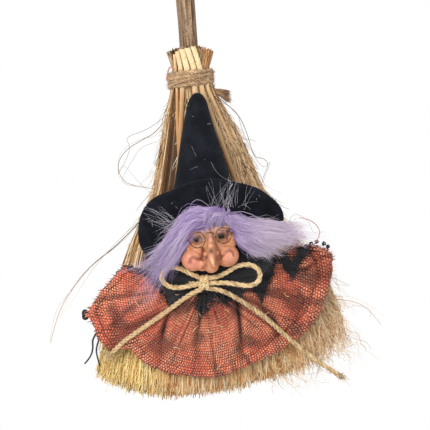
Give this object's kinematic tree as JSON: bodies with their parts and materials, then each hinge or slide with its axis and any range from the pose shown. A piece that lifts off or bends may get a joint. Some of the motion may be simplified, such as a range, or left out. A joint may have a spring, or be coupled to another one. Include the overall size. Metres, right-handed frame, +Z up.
{
  "type": "witch on a broom decoration",
  "caption": "Hanging decoration: a witch's head with pointed felt hat, long hair, wire spectacles and gathered cape, tied with a jute bow to the front of a straw broom.",
  "frame": {"origin": "centre of the stick's sawn top end, on its axis", "axes": "+Z up along the stick, +X to the right of someone looking at the face, -Y the way the face looks"},
  "size_m": [0.1896, 0.0791, 0.38],
  "materials": {
    "stick": "weathered bark, grey brown, matte",
    "straw": "dry broom straw, matte",
    "reed": "dry reed stems, satin",
    "binding_jute": "brown jute, fuzzy",
    "bow_jute": "pale jute, fuzzy",
    "felt": "black felt, matte",
    "wadding": "polyester wadding",
    "glue": "set hot glue",
    "face": "moulded and painted, satin",
    "wire": "drawn wire",
    "fur": "long purple pile",
    "cape_cloth": "coarse two-colour weave of salmon and black yarn",
    "black_yarn": "black yarn"
  },
  "bodies": {
    "broom_figure": {"handle": "stick", "straw_front_1": "straw", "straw_front_2": "straw", "straw_front_3": "straw", "straw_front_4": "straw", "straw_front_5": "straw", "straw_back_1": "straw", "straw_back_2": "straw", "straw_back_3": "straw", "straw_back_4": "straw", "straw_back_5": "straw", "reed_stems_left": "reed", "reed_stems_right": "reed", "binding_twine": "binding_jute", "binding_tail": "binding_jute", "hat_cone": "felt", "hat_stuffing": "wadding", "hat_brim": "felt", "hat_glue": "glue", "brim_glue": "glue", "face": "face", "head_wad": "wadding", "fur_backing": "fur", "hair_fringe": "fur", "hair_left": "fur", "hair_right": "fur", "cape": "cape_cloth", "cape_knot": "black_yarn", "cape_threads": "black_yarn", "neck_twine": "bow_jute", "bow_knot": "bow_jute", "bow_loop_left": "bow_jute", "bow_loop_right": "bow_jute", "bow_tail_left": "bow_jute", "bow_tail_right": "bow_jute", "stray_fibres": "straw"},
    "spectacles": {"spectacles": "wire"}
  },
  "joints": [
    {"name": "spectacles_tilt", "type": "hinge", "parent": "broom_figure", "child": "spectacles", "pos_m": [0.0049, -0.045, -0.288], "axis": [-0.9945, 0, -0.1045], "range_deg": [0, 18]}
  ]
}
